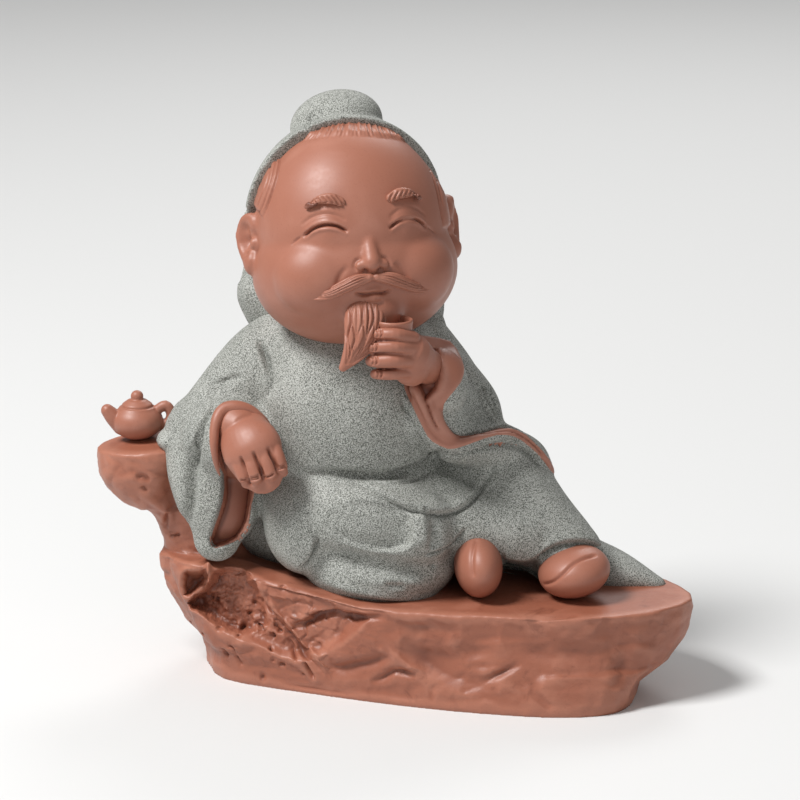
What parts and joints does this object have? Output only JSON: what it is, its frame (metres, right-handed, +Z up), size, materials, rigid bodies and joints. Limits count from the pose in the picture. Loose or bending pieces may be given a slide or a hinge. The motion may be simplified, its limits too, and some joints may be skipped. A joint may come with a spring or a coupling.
{
  "type": "clay tea pet",
  "caption": "Clay figurine of a plump robed scholar with a pointed beard, at rest on a rock with a small cup in hand and a tiny teapot on a ledge at his side.",
  "frame": {"origin": "the middle of the bounding box, on the ground plane under the flat foot", "axes": "+Z up, -Y towards the viewer whom the figure faces, +X towards the figure's left hand and the undercut end of the rock"},
  "size_m": [0.1196, 0.0592, 0.1176],
  "materials": {
    "red_clay": "unglazed red clay, matt with a faint sheen",
    "green_clay": "unglazed grey-green clay with fine dark and light grains, matt"
  },
  "bodies": {
    "root": {"tea_pet": "red_clay"}
  },
  "joints": []
}
